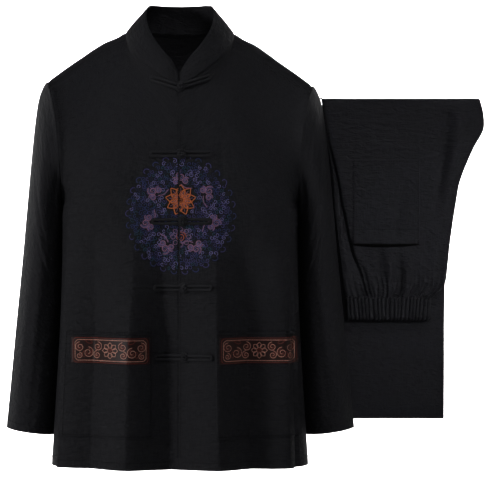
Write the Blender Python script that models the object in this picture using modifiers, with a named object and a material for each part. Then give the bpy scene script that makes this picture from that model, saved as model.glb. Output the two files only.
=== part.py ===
"""Tai chi uniform: a jacket filled out as it is worn, and its trousers folded beside it.

The object is in metres with +Z up and its front towards -Y. All the sizes below are in
millimetres, measured from the middle of the shoulders at the height of the side of the neck.
+X is the wearer's left.
"""
import math

import bmesh
import bpy
from mathutils import Vector
from mathutils.bvhtree import BVHTree

MM = 0.001
CLOTH = 1.25  # thickness of one layer
GAP = 0.25  # each piece stops this far short of its seam
ROUND_GAP = 1.0  # and this far where the cloth turns over the seam
LYING = 0.4  # space under a piece that lies on another

# Jacket, measured over the filled-out form.
HEM_Z = -722
CHEST_Z = -300
SHOULDER_Z = -82
CHEST_X = 197
SHOULDER_X = 222
SEAM_FORWARD = 12
ARMHOLE_DEPTH = 78
NECK_X = 91
NECK_DROP = 100
NECK_FRONT = 110
NECK_BACK = 75
NECK_FORWARD = 5
NECK_SHARE = 0.36

BODY = (
    ("z", "half_width", "front", "back", "power"),
    (-722, 215, 140, 142, 2.6),
    (-583, 206, 137, 139, 2.7),
    (-449, 199, 133, 137, 2.9),
    (-300, 197, 130, 135, 3.2),
    (-180, 200, 127, 130, 2.7),
    (-82, 205, 119, 120, 2.4),
)

# Flutes of the skirt: where each runs at the hem and at the chest, round the girth from the
# middle of the front or back, how far it stands out (or in) at the hem, and its half width.
FRONT_FLUTES = (
    ("at_hem", "at_chest", "out", "width"),
    (-213, -202, 5, 28),
    (-153, -134, -9, 30),
    (-84, -74, 9, 32),
    (-10, -6, -7, 32),
    (62, 56, 9, 32),
    (133, 120, -9, 30),
    (205, 196, 5, 28),
)
BACK_FLUTES = (
    ("at_hem", "at_chest", "out", "width"),
    (-222, -206, 5, 30),
    (-150, -140, -8, 30),
    (-80, -72, 8, 32),
    (-6, -4, -6, 30),
    (70, 62, 9, 32),
    (146, 136, -8, 30),
    (214, 200, 5, 30),
)
FLUTES_START_Z = -170
FLUTES_FULL_Z = -640

# Each front is divided across at its pocket's inner side, the side of the neck, the pocket's
# outer side and the side seam, and upwards at its pocket's two ends and the chest.
RIGHT_COLUMNS = (("share", "cells"), (0.155, 3), (NECK_SHARE, 3), (0.700, 5), (1.0, 5))
LEFT_COLUMNS = (("share", "cells"), (0.205, 3), (NECK_SHARE, 3), (0.780, 6), (1.0, 4))
BACK_COLUMNS = (("share", "cells"), (NECK_SHARE, 5), (1.0, 9))
ROW_LEVELS = (("z", "cells"), (-671, 2), (-498, 5), (CHEST_Z, 5))
FRONT_EASING = 6
BACK_EASING = 5
ARMHOLE_SHARES = (0, 0.08, 0.2, 0.34, 0.5, 0.66, 0.8, 0.92, 1)

# Sleeve rings from the armhole to the cuff: the outer and inner points, half the depth from
# front to back, the middle of that depth, and how late the ring leans outwards.
SLEEVE = (
    ("along", "outer_x", "outer_z", "inner_x", "inner_z", "depth", "middle", "lean"),
    (0, 222, -82, 197, -300, 78, -6, 3.5),
    (0.04, 230, -91, 199.3, -304, 82, 2, 2.4),
    (0.10, 238, -112, 199.3, -313, 85, 8, 1.6),
    (0.22, 247, -176, 199.3, -338, 86, 13, 1.0),
    (0.38, 257, -281, 199.8, -396, 82, 17, 1.0),
    (0.55, 267, -390, 201.4, -464, 74, 20, 1.0),
    (0.72, 278, -500, 204.6, -536, 65, 22, 1.0),
    (0.88, 288, -606, 210.3, -628, 57, 24, 1.0),
    (1.0, 294, -664, 213.8, -676, 52, 25, 1.0),
)
SLEEVE_STEPS = (0, 0.04, 0.1, 0.16, 0.23, 0.3, 0.37, 0.44, 0.51, 0.58, 0.65, 0.73, 0.81, 0.9, 1)

COLLAR_TOP_X = 57
COLLAR_TOP_FRONT = 95
COLLAR_TOP_BACK = 62
COLLAR_FRONT_Z = -66
COLLAR_SIDE_Z = 33
COLLAR_BACK_Z = 50
COLLAR_BACK_RISE = 4  # how soon the collar's top reaches that height, behind the side of the neck

# The wearer's left shoulder hangs this much lower than the right one.
LEFT_SHOULDER_DROP = 7

# Frog fastenings: height of the knot, and how far the strips' outer ends rise above it.
FROGS = (
    ("name", "z", "knot_x", "right_end", "left_end"),
    ("neck", -98, 2, -46, 50),
    ("chest", -208, 3, -46, 53),
    ("middle", -318, 5, -42, 52),
    ("waist", -426, 8, -39, 52),
    ("skirt", -539, 9, -38, 53),
)
FROG_START = 8.5
NECK_FROG_LIFT = 0.33  # the top frog follows the neck seam: rise for each unit outwards
CORD_RADIUS = 2.3
CORD_SPREAD = 3.1
KNOT_RADIUS = 6
KNOT_FLATNESS = 0.85

# Trousers. The crease divides the seat from the strip that is tucked behind it.
TROUSERS = (
    ("z", "left", "crease", "right", "leg_left", "leg_right"),
    (-655, 231, 300, 452, 231, 452),
    (-446, 282, 322, 432, 237, 453),
    (-434, 280, 318, 446, 238, 453),
    (-417, 278, 313, 454, 239, 453),
    (-389, 275, 305, 457, 240, 455),
    (-362, 272, 294, 460, 243, 458),
    (-329, 268, 289, 464, 247, 462),
    (-293, 264, 280, 470, 250, 468),
    (-255, 262, 274, 476, 253, 474),
    (-221, 258, 267, 488, 254, 486),
    (-191, 253, 259, 501, 251, 498),
    (-164, 249, 254, 517, 247, 514),
    (-129, 244, 248, 518, 244, 515),
    (-105, 242, 245, 511, 242, 509),
)
TOP_FOLD_Z = -105
BOTTOM_FOLD_Z = -655
WAISTBAND_TOP = -446
WAISTBAND_BOTTOM = -483
WAISTBAND_LEFT = 282
WAISTBAND_RIGHT = 430
WAISTBAND_GATHERS = 26
SEAT_DEPTH = 20
LEG_DEPTH = 11
TUCK = 5
BACK_POCKET = {"left": 294, "right": 409, "top": -210, "bottom": -354}


def smooth(share):
    share = min(max(share, 0.0), 1.0)
    return share * share * (3 - 2 * share)


def mix(low, high, share):
    return low + (high - low) * share


def read(table, column, where):
    """The table's column at a place on its first column, rounded between its rows."""
    k = table[0].index(column)
    rows = table[1:]
    where = min(max(where, rows[0][0]), rows[-1][0])
    i = 0
    while i < len(rows) - 2 and rows[i + 1][0] < where:
        i += 1
    span = rows[i + 1][0] - rows[i][0]
    slopes = []
    for j in (i, i + 1):
        before = rows[max(j - 1, 0)]
        after = rows[min(j + 1, len(rows) - 1)]
        slopes.append((after[k] - before[k]) / (after[0] - before[0]) * span)
    t = (where - rows[i][0]) / span
    low, high = rows[i][k], rows[i + 1][k]
    rise = t * t * (3 - 2 * t)
    bend = (t - 2 * t * t + t ** 3) * slopes[0] + (t ** 3 - t * t) * slopes[1]
    return low + (high - low) * rise + bend


def steps(start, table):
    """Evenly divided places from the start through each end that the table names."""
    places = [start]
    for end, cells in table[1:]:
        begin = places[-1]
        places += [mix(begin, end, (i + 1) / cells) for i in range(cells)]
    return places


def bow(share):
    """Roundness of an armhole or sleeve ring from its low point (0) to its high point (1)."""
    return (4 * share * (1 - share)) ** 0.7


def quarter(half_width, depth, power, end_depth, shares):
    """Points (x, y outwards) and arc length of a body section, from its middle to an edge."""
    end = math.acos(min(end_depth / depth, 1.0) ** (power / 2))
    path = []
    for k in range(81):
        turn = end * k / 80
        x = half_width * math.sin(turn) ** (2 / power)
        y = depth * max(math.cos(turn), 0.0) ** (2 / power)
        path.append((x, y))
    along = [0.0]
    for a, b in zip(path, path[1:]):
        along.append(along[-1] + math.dist(a, b))
    points = []
    for share in shares:
        target = share * along[-1]
        i = 0
        while i < 79 and along[i + 1] < target:
            i += 1
        t = (target - along[i]) / (along[i + 1] - along[i])
        points.append((mix(path[i][0], path[i + 1][0], t), mix(path[i][1], path[i + 1][1], t)))
    return points, along[-1]


def armhole_x(share):
    return CHEST_X + (SHOULDER_X - CHEST_X) * share ** 3.5


def neck_point(turn, back):
    """Seam of the neck, a quarter turn from the middle of the front or back to the side."""
    x = NECK_X * math.sin(turn)
    if back:
        return x, (NECK_BACK + NECK_FORWARD) * math.cos(turn) - NECK_FORWARD, 3 * math.cos(turn)
    lift = turn / (math.pi / 2)
    return x, (NECK_FORWARD - NECK_FRONT) * math.cos(turn) - NECK_FORWARD, NECK_DROP * (lift - 1)


def top_edge(share, back):
    """Neck seam and shoulder seam of one side, from the middle out to the shoulder point."""
    if share <= NECK_SHARE:
        return neck_point(math.pi / 2 * share / NECK_SHARE, back)
    out = (share - NECK_SHARE) / (1 - NECK_SHARE)
    y = mix(-NECK_FORWARD, -SEAM_FORWARD, out)
    return mix(NECK_X, SHOULDER_X, out), y, SHOULDER_Z * out + 5 * math.sin(math.pi * out)


def flute(flutes, place, share, z):
    """How far the skirt's folds push the cloth out at a place round the girth."""
    grown = smooth((FLUTES_START_Z - z) / (FLUTES_START_Z - FLUTES_FULL_Z))
    down = (CHEST_Z - z) / (CHEST_Z - HEM_Z)
    push = 0.0
    for at_hem, at_chest, out, width in flutes[1:]:
        centre = mix(at_chest, at_hem, down)
        push += out * math.exp(-(((place - centre) / width) ** 2))
    return push * grown * (1 - abs(share) ** 8)


def half_row(shares, side, back, z, armhole):
    """One row of half a body panel. The armhole share is None under the chest."""
    turned = 1 if back else -1
    depth = read(BODY, "back" if back else "front", z)
    power = read(BODY, "power", z)
    if armhole is None:
        half_width, end_depth, middle = read(BODY, "half_width", z), 0.0, 0.0
    else:
        end_depth = ARMHOLE_DEPTH * bow(armhole)
        half_width = armhole_x(armhole) / (1 - (end_depth / depth) ** power) ** (1 / power)
        middle = -SEAM_FORWARD * armhole
    flat, length = quarter(half_width, depth, power, end_depth, shares)
    flutes = BACK_FLUTES if back else FRONT_FLUTES
    row = []
    for share, (x, y) in zip(shares, flat):
        outwards = Vector((x / half_width ** 2, y / depth ** 2)).normalized()
        push = flute(flutes, side * share * length, share, z)
        point = Vector((side * (x + outwards.x * push), middle + turned * (y + outwards.y * push), z))
        if armhole:
            point += shoulder_shift(share, side, back, armhole)
        row.append(point)
    return row


def shoulder_shift(share, side, back, armhole):
    """What carries a point of the upright chest over to the neck and shoulder seams."""
    turned = 1 if back else -1
    depth = read(BODY, "back" if back else "front", SHOULDER_Z)
    power = read(BODY, "power", SHOULDER_Z)
    (x, y), = quarter(SHOULDER_X, depth, power, 0.0, [share])[0]
    goal = Vector(top_edge(share, back))
    across = (goal.x - x) * armhole ** 2
    if back:
        lean = 1 - math.cos(math.pi / 2 * armhole)
        over = mix(1.6, 2.1, smooth((share - NECK_SHARE) / 0.2))
        arch = math.sin(over * armhole) / math.sin(over)
    else:
        lean = armhole ** (2.4 + 2 * math.exp(-(((share - NECK_SHARE) / 0.22) ** 2)))
        arch = armhole
    inwards = (goal.y - (turned * y - SEAM_FORWARD)) * lean
    upright = CHEST_Z + (SHOULDER_Z - CHEST_Z) * armhole
    height = mix(arch, armhole, share ** 4)
    lift = CHEST_Z + (goal.z - CHEST_Z) * height - upright
    return Vector((side * across, inwards, lift))


def panel_rows(shares, side, back):
    rows = []
    for z in steps(HEM_Z, ROW_LEVELS):
        rows.append(half_row(shares, side, back, z, None))
    for armhole in ARMHOLE_SHARES[1:]:
        z = mix(CHEST_Z, SHOULDER_Z, armhole)
        rows.append(half_row(shares, side, back, z, armhole))
    return rows


def relaxed(rows, passes):
    """The panel with its yoke eased, above the chest, as a soft cloth evens itself out."""
    first = len(rows) - len(ARMHOLE_SHARES) + 1
    for _ in range(passes):
        eased = [list(row) for row in rows]
        for j in range(first, len(rows) - 1):
            for i in range(1, len(rows[j]) - 1):
                around = rows[j][i - 1] + rows[j][i + 1] + rows[j - 1][i] + rows[j + 1][i]
                eased[j][i] = rows[j][i] * 0.4 + around * 0.15
        rows = eased
    return rows


def hung(rows):
    """The rows as the jacket hangs, with its left shoulder a little lower."""
    for row in rows:
        for point in row:
            lowered = smooth((point.x - 50) / 130) * smooth((point.z + 320) / 220)
            point.z -= LEFT_SHOULDER_DROP * lowered
    return rows


def sleeve_rows(side):
    rows = []
    for along in SLEEVE_STEPS:
        size = {name: read(SLEEVE, name, along) for name in SLEEVE[0][1:]}
        ring = []
        for turned in (-1, 1):
            shares = ARMHOLE_SHARES[:-1] if turned < 0 else ARMHOLE_SHARES[:0:-1]
            for share in shares:
                x = mix(size["inner_x"], size["outer_x"], share ** size["lean"])
                tilt = 6 - 12 * share if along == 0 else 0
                y = turned * size["depth"] * bow(share) + size["middle"] + tilt
                z = mix(size["inner_z"], size["outer_z"], share)
                ring.append(Vector((side * x, y, z)))
        rows.append(ring)
    return rows


def neck_turns(table):
    """Turns round the neck, from the middle out to the side, of a panel's columns."""
    shares = [share for share in steps(0.0, table) if share <= NECK_SHARE + 0.001]
    return [math.pi / 2 * share / NECK_SHARE for share in shares]


def collar_rows():
    """From the front's middle round the wearer's left side and back, to the middle again."""
    back_turns = [math.pi - turn for turn in neck_turns(BACK_COLUMNS)]
    left = neck_turns(LEFT_COLUMNS) + back_turns[-2::-1]
    right = neck_turns(RIGHT_COLUMNS) + back_turns[-2:0:-1]
    places = [(1, max(turn, 0.012)) for turn in left]
    places += [(-1, max(turn, 0.012)) for turn in right[::-1]]
    rows = []
    for level in (0, 0.5, 1):
        row = []
        for side, turn in places:
            back = turn > math.pi / 2
            low = Vector(neck_point(math.pi - turn if back else turn, back))
            depth = COLLAR_TOP_BACK if back else COLLAR_TOP_FRONT
            if back:
                risen = 1 - (1 + math.cos(turn)) ** COLLAR_BACK_RISE
                z = mix(COLLAR_SIDE_Z, COLLAR_BACK_Z, risen)
            else:
                z = mix(COLLAR_FRONT_Z, COLLAR_SIDE_Z, turn / (math.pi / 2))
                z -= 9 * max(0.0, 1 - turn / 0.14) ** 2
            high = Vector((COLLAR_TOP_X * math.sin(turn), -depth * math.cos(turn), z))
            point = low.lerp(high, level)
            point.x *= side
            outwards = Vector((point.x, point.y, 0)).normalized()
            row.append(point + outwards * 2.5 * math.sin(math.pi * level))
        rows.append(row)
    return rows


def across_trousers(z, share, layer):
    """X of a place across a layer of the trousers, and how far it is tucked back."""
    if layer == "leg":
        left, right = read(TROUSERS, "leg_left", z), read(TROUSERS, "leg_right", z)
        return mix(left, right, share), 0.0
    left, crease, right = (read(TROUSERS, name, z) for name in ("left", "crease", "right"))
    if share < 0.15:
        return mix(left, crease - 3, share / 0.15), TUCK
    return mix(crease, right, (share - 0.15) / 0.85), 0.0


def trouser_rows(front_y):
    """The outer layer: seat, over the top fold, down the leg's back, and up its front."""
    shares = [i / 3 * 0.14 for i in range(4)] + [mix(0.15, 1, i / 16) for i in range(17)]
    leg_y = front_y + SEAT_DEPTH
    back_y = leg_y + LEG_DEPTH
    path = [(z, "seat", front_y) for z in (-446, -440, -431, -417, -398, -374, -346, -314)]
    path += [(z, "seat", front_y) for z in (-282, -250, -218, -188, -160, -135)]
    for i in range(1, 6):
        turn = math.pi * i / 6
        y = mix(front_y, back_y, (1 - math.cos(turn)) / 2)
        path.append((TOP_FOLD_Z - 13 + 13 * math.sin(turn), "seat" if i < 4 else "leg", y))
    path += [(z, "leg", back_y) for z in (-135, -191, -255, -360, -500, -640)]
    for i in range(1, 4):
        turn = math.pi * i / 4
        y = mix(back_y, leg_y, (1 - math.cos(turn)) / 2)
        path.append((BOTTOM_FOLD_Z + 6 - 6 * math.sin(turn), "leg", y))
    path += [(z, "leg", leg_y) for z in (-640, -560, -470, -380, -290, -200, -140)]
    rows = []
    for place, (z, layer, y) in enumerate(path):
        row = []
        for k, share in enumerate(shares):
            x, tuck = across_trousers(z, share, layer)
            deep = tuck if place < 14 else tuck * max(0, 16 - place) / 3
            gather = 0.0
            if place < 9:
                gather = (1.6 if k % 2 else -1.6) * smooth((-330 - z) / 100)
            roll = 3.5 * (abs(2 * share - 1) ** 6) if place < 14 else 0.0
            row.append(Vector((x, y + deep + gather + roll, z)))
        rows.append(row)
    return rows


def layered_ring(left, right, z, near_y, far_y):
    """Section through a stack of hidden layers, with three layers' edges at each end."""
    ring = []
    for k in range(6):
        ring.append(Vector((mix(left, right, k / 5), near_y, z)))
    for k in range(1, 6):
        inset = 1.6 if k % 2 == 0 else 0.0
        ring.append(Vector((right + 1 - inset, mix(near_y, far_y, k / 6), z)))
    for k in range(6):
        ring.append(Vector((mix(right, left, k / 5), far_y, z)))
    for k in range(1, 6):
        inset = 1.6 if k % 2 == 0 else 0.0
        ring.append(Vector((left - 1 + inset, mix(far_y, near_y, k / 6), z)))
    return ring


def hidden_layers(layer, near_y, far_y, levels):
    rings = []
    for place, z in enumerate(levels):
        left, right = read(TROUSERS, layer[0], z), read(TROUSERS, layer[1], z)
        ends = 1.5 if place in (0, len(levels) - 1) else 0.0
        rings.append(layered_ring(left + 3 + ends, right - 3 - ends, z, near_y + ends, far_y - ends))
    return rings


def waistband_rings(front_y):
    """Sections across the band, alternating between a gather's ridge and its hollow."""
    rings = []
    far_y = front_y + SEAT_DEPTH - 1.2
    for k in range(2 * WAISTBAND_GATHERS + 1):
        x = mix(WAISTBAND_LEFT, WAISTBAND_RIGHT, k / (2 * WAISTBAND_GATHERS))
        end = 3.0 if k in (0, 2 * WAISTBAND_GATHERS) else 0.0
        near_y = front_y - (3.2 if k % 2 else 0.6) + end
        top, bottom = WAISTBAND_TOP - 1 - end / 2, WAISTBAND_BOTTOM + end / 2
        section = (
            (near_y + 3.5, top),
            (near_y, top - 5),
            (near_y + 0.6, (top + bottom) / 2),
            (near_y, bottom + 5),
            (near_y + 3.5, bottom),
            (far_y - end, bottom + 1),
            (far_y - end, top - 1),
        )
        rings.append([Vector((x, y, z)) for y, z in section])
    return rings


def short_of(border, inner, gap):
    """A border line moved square to itself, over the cloth and away from its seam."""
    moved = []
    for i, point in enumerate(border):
        before, after = border[max(i - 1, 0)], border[min(i + 1, len(border) - 1)]
        seam = (after - before).normalized()
        into = inner[i] - point
        into -= seam * into.dot(seam)
        inside = 0 < i < len(border) - 1
        corner = inside and (point - before).angle(after - point) > 0.6
        moved.append(point + into.normalized() * gap * (2 if corner else 1))
    return moved


def trimmed(rows, edges):
    """The grid with its named border rows or columns pulled in, so that seams stay clear."""
    rows = [list(row) for row in rows]
    for edge, gap in edges:
        border, inner = (0, 1) if edge.startswith("first") else (-1, -2)
        if edge.endswith("row"):
            rows[border] = short_of(rows[border], rows[inner], gap)
        else:
            column = short_of([row[border] for row in rows], [row[inner] for row in rows], gap)
            for row, point in zip(rows, column):
                row[border] = point
    return rows


def grid_faces(count, width, closed):
    """Triangles between the rows of a grid, all cut along the same diagonal."""
    cells = width if closed else width - 1
    faces = []
    for j in range(count - 1):
        for i in range(cells):
            a, b = j * width + i, j * width + (i + 1) % width
            faces.append((a, b, b + width))
            faces.append((a, b + width, a + width))
    return faces


def add_object(name, points, faces, material):
    mesh = bpy.data.meshes.new(name)
    mesh.from_pydata([point * MM for point in points], [], faces)
    mesh.materials.append(material)
    item = bpy.data.objects.new(name, mesh)
    COLLECTION.objects.link(item)
    return item


def cloth_sheet(name, rows, material, closed=False, flip=False, outwards=False):
    """One layer of cloth through the rows, with its wall to the inside unless told otherwise."""
    if flip:
        rows = [row[::-1] for row in rows]
    faces = grid_faces(len(rows), len(rows[0]), closed)
    item = add_object(name, [point for row in rows for point in row], faces, material)
    wall = item.modifiers.new("wall", "SOLIDIFY")
    wall.thickness = CLOTH * MM
    wall.offset = 1.0 if outwards else -1.0
    return item


def closed_loft(name, rings, material):
    """A solid through closed rings, with a flat end on the first and last."""
    width = len(rings[0])
    faces = grid_faces(len(rings), width, True)
    faces.append(tuple(range(width))[::-1])
    faces.append(tuple((len(rings) - 1) * width + i for i in range(width)))
    item = add_object(name, [point for ring in rings for point in ring], faces, material)
    tidy = bmesh.new()
    tidy.from_mesh(item.data)
    bmesh.ops.recalc_face_normals(tidy, faces=tidy.faces)
    tidy.to_mesh(item.data)
    tidy.free()
    return item


def lying_on(rows, first_row, last_row, first_column, last_column, flip):
    """Part of a grid moved off the grid's outer face."""
    moved = []
    for j in range(first_row, last_row + 1):
        row = []
        for i in range(first_column, last_column + 1):
            along = rows[j][i + 1] - rows[j][i - 1]
            up = rows[j + 1][i] - rows[j - 1][i]
            normal = along.cross(up).normalized()
            row.append(rows[j][i] + normal * (-LYING if flip else LYING))
        moved.append(row)
    return moved


def surface_finder(items, from_back=False):
    """Faces of finished pieces as seen square from the front (or the back), at an x and z."""
    shapes = bpy.context.evaluated_depsgraph_get()
    trees = [BVHTree.FromObject(item.evaluated_get(shapes), shapes) for item in items]
    start_y, onwards = (400, -1) if from_back else (-400, 1)

    def find(x, z, around=0.0):
        """Point and normal nearest to the eye, within a distance around the place."""
        for reach in (around, 2.0, 3.0):
            hits = []
            for aside, above in ((0, 0), (reach, 0), (-reach, 0), (0, reach), (0, -reach)):
                start = Vector((x + aside, start_y, z + above)) * MM
                hits += [tree.ray_cast(start, Vector((0, onwards, 0))) for tree in trees]
            hits = [hit for hit in hits if hit[0] is not None]
            if hits:
                nearest = min(hits, key=lambda hit: hit[3])
                return nearest[0] / MM, nearest[1]
        return None

    return find


def cord(name, path, radius, material):
    """A round cord along a path, with filled ends."""
    sides = 6
    rings = []
    for i, point in enumerate(path):
        before, after = path[max(i - 1, 0)], path[min(i + 1, len(path) - 1)]
        along = (after - before).normalized()
        side = along.cross(Vector((0, 1, 0))).normalized()
        front = side.cross(along)
        ring = []
        for k in range(sides):
            turn = math.tau * k / sides
            ring.append(point + (side * math.cos(turn) + front * math.sin(turn)) * radius)
        rings.append(ring)
    return closed_loft(name, rings, material)


def frog_strip(name, start, end, z, lift, find, material):
    """One half of a frog: a cord doubled back on itself, seated on the front."""
    turn_back = end - math.copysign(CORD_SPREAD, end)
    places = [mix(start, turn_back, i / 5) for i in range(6)]
    flat = [(x, -CORD_SPREAD) for x in places]
    flat += [(end - math.copysign(0.2 * CORD_SPREAD, end), 0.0)]
    flat += [(x, CORD_SPREAD) for x in places[::-1]]
    path = []
    for x, up in flat:
        height = z + up + lift * abs(x)
        place, normal = find(x, height, 2.0)
        stand_off = CORD_RADIUS / max(abs(normal.y), 0.6) + LYING
        path.append(Vector((x, place.y - stand_off, height)))
    return cord(name, path, CORD_RADIUS, material)


def knot(name, middle, z, find, material):
    """The ball knot that both strips of a frog meet at, resting on the fronts."""
    depths = []
    for out in (0.0, 0.3, 0.6, 0.8, 0.95):
        bulge = KNOT_FLATNESS * KNOT_RADIUS * math.sqrt(1 - out * out)
        for k in range(8):
            x = KNOT_RADIUS * out * math.cos(math.tau * k / 8)
            up = KNOT_RADIUS * out * math.sin(math.tau * k / 8)
            depths.append(find(middle + x, z + up)[0].y - bulge)
    bpy.ops.mesh.primitive_uv_sphere_add(segments=10, ring_count=7, radius=KNOT_RADIUS * MM)
    ball = bpy.context.object
    ball.name = name
    ball.location = Vector((middle, min(depths) - LYING, z)) * MM
    ball.scale = (1.0, KNOT_FLATNESS, 1.0)
    ball.data.materials.append(material)
    for other in list(ball.users_collection):
        other.objects.unlink(ball)
    COLLECTION.objects.link(ball)


def cloth_material(name, colour, roughness=0.85):
    material = bpy.data.materials.new(name)
    material.use_nodes = True
    shader = material.node_tree.nodes["Principled BSDF"]
    shader.inputs["Base Color"].default_value = (*colour, 1)
    shader.inputs["Roughness"].default_value = roughness
    return material


def build_jacket():
    cloth = {}
    for name in ("front_right", "front_left", "back", "sleeve_right", "sleeve_left", "collar"):
        cloth[name] = cloth_material("cloth_" + name, (0.009, 0.009, 0.010))
    piping = cloth_material("frog_cord", (0.008, 0.008, 0.009), 0.6)

    fronts = []
    for name, side, table, pocket in (
        ("front_right", -1, RIGHT_COLUMNS, "pocket_right"),
        ("front_left", 1, LEFT_COLUMNS, "pocket_left"),
    ):
        shares = steps(0.0, table)
        rows = hung(relaxed(panel_rows(shares, side, False), FRONT_EASING))
        seams = (("first_column", GAP), ("last_column", ROUND_GAP), ("last_row", ROUND_GAP))
        fronts.append(cloth_sheet(name, trimmed(rows, seams), cloth[name], flip=side < 0))
        first = table[1][1]
        last = first + table[2][1] + table[3][1]
        patch = lying_on(rows, 2, 7, first, last, flip=side < 0)
        colour = cloth_material("cloth_" + pocket, (0.010, 0.009, 0.010))
        cloth_sheet(pocket, patch, colour, flip=side < 0, outwards=True)

    shares = steps(0.0, BACK_COLUMNS)
    left = panel_rows(shares, 1, True)
    right = panel_rows(shares, -1, True)
    rows = hung(relaxed([b[:0:-1] + a for a, b in zip(left, right)], BACK_EASING))
    seams = (("first_column", GAP), ("last_column", GAP), ("last_row", ROUND_GAP))
    cloth_sheet("back", trimmed(rows, seams), cloth["back"], flip=True)

    for name, side in (("sleeve_right", -1), ("sleeve_left", 1)):
        rows = trimmed(hung(sleeve_rows(side)), (("first_row", ROUND_GAP),))
        sleeve = cloth_sheet(name, rows, cloth[name], closed=True, flip=side > 0)

    collar = trimmed(hung(collar_rows()), (("first_row", ROUND_GAP),))
    collar = cloth_sheet("collar", collar, cloth["collar"])

    find = surface_finder(fronts + [collar])
    for name, z, middle, right_end, left_end in FROGS[1:]:
        lift = NECK_FROG_LIFT if name == "neck" else 0.0
        frog = "frog_" + name
        frog_strip(frog + "_loop", middle - FROG_START, right_end, z, lift, find, piping)
        frog_strip(frog + "_stud", middle + FROG_START, left_end, z, lift, find, piping)
        knot(frog + "_knot", middle, z, find, piping)
    return sleeve


def build_trousers(sleeve):
    find = surface_finder([sleeve], from_back=True)
    heights = range(BOTTOM_FOLD_Z + 5, TOP_FOLD_Z - 20, 5)
    behind = [find(read(TROUSERS, "leg_left", z) + 0.5, z) for z in heights]
    leg_y = max(hit[0].y for hit in behind if hit is not None) + LYING
    front_y = leg_y - SEAT_DEPTH
    cloth = {}
    for name in ("trousers", "waistband", "back_pocket", "folded_layers"):
        cloth[name] = cloth_material("cloth_" + name, (0.009, 0.009, 0.010))
    outer = cloth_sheet("trousers_outer_panel", trouser_rows(front_y), cloth["trousers"])

    wall = CLOTH + LYING
    seat_levels = (-442, -410, -370, -330, -290, -250, -210, -180, -150, -122)
    rings = hidden_layers(("left", "right"), front_y + 12, leg_y - LYING, seat_levels)
    closed_loft("trousers_seat_layers", rings, cloth["folded_layers"])
    leg_levels = (-646, -560, -480, -420, -360, -300, -250, -210, -180, -150, -122)
    near_y, far_y = leg_y + wall, leg_y + LEG_DEPTH - wall
    rings = hidden_layers(("leg_left", "leg_right"), near_y, far_y, leg_levels)
    closed_loft("trousers_leg_layers", rings, cloth["folded_layers"])

    closed_loft("trousers_waistband", waistband_rings(front_y), cloth["waistband"])

    find = surface_finder([outer])
    rows = []
    for j in range(7):
        z = mix(BACK_POCKET["bottom"], BACK_POCKET["top"], j / 6)
        row = []
        for i in range(6):
            x = mix(BACK_POCKET["left"], BACK_POCKET["right"], i / 5)
            gape = 2.5 * math.sin(math.pi * i / 5) if j == 0 else 0.0
            row.append(Vector((x, find(x, z)[0].y - 2 * LYING - gape, z)))
        rows.append(row)
    cloth_sheet("trousers_back_pocket", rows, cloth["back_pocket"], outwards=True)


for old in list(bpy.data.objects):
    bpy.data.objects.remove(old)
COLLECTION = bpy.data.collections.new("tai_chi_uniform")
bpy.context.scene.collection.children.link(COLLECTION)
build_trousers(build_jacket())
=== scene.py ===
"""Looks of the tai chi uniform: a filled-out jacket, and its trousers folded beside it.

Sizes are in millimetres until a mesh is made. The middle of the shoulders at the height of the
side of the neck is the origin, the front is towards -Y, and +X is the wearer's left.
"""
import math

import bpy
import numpy as np
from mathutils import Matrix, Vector
from mathutils.bvhtree import BVHTree


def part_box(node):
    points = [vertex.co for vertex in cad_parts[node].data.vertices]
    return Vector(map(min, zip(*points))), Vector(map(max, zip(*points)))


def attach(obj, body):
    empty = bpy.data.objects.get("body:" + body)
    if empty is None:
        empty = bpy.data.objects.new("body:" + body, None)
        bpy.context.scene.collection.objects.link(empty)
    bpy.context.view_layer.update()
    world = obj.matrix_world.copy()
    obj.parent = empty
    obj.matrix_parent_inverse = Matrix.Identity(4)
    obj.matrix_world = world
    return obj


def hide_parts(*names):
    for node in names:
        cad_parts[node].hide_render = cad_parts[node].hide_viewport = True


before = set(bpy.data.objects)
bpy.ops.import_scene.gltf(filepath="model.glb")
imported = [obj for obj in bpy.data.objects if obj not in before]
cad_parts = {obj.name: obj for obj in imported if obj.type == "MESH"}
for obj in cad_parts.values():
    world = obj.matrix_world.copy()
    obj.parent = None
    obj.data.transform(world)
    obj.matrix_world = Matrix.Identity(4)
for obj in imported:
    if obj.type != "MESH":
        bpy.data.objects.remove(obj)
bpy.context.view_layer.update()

MM = 0.001

CLOTH = 1.2  # thickness of one layer
SEAM_GAP = 0.12  # space that the needle leaves between two pieces
LYING = 0.4  # space under a piece that lies on another
THIN_CLOTH = 0.8  # thickness of a patch that is pressed flat

HEM_Z = -722
CHEST_Z = -300
SHOULDER_Z = -82
CHEST_X = 197
SHOULDER_X = 222
SEAM_FORWARD = 12
ARMHOLE_DEPTH = 78
NECK_X = 91
NECK_DROP = 100
NECK_FRONT = 110
NECK_BACK = 75
NECK_FORWARD = 5
NECK_SHARE = 0.36

BODY = (
    ("z", "half_width", "front", "back", "power"),
    (-722, 215, 140, 142, 2.6),
    (-583, 206, 137, 139, 2.7),
    (-449, 199, 133, 137, 2.9),
    (-300, 197, 130, 135, 3.2),
    (-180, 200, 127, 130, 2.7),
    (-82, 205, 119, 120, 2.4),
)

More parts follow.
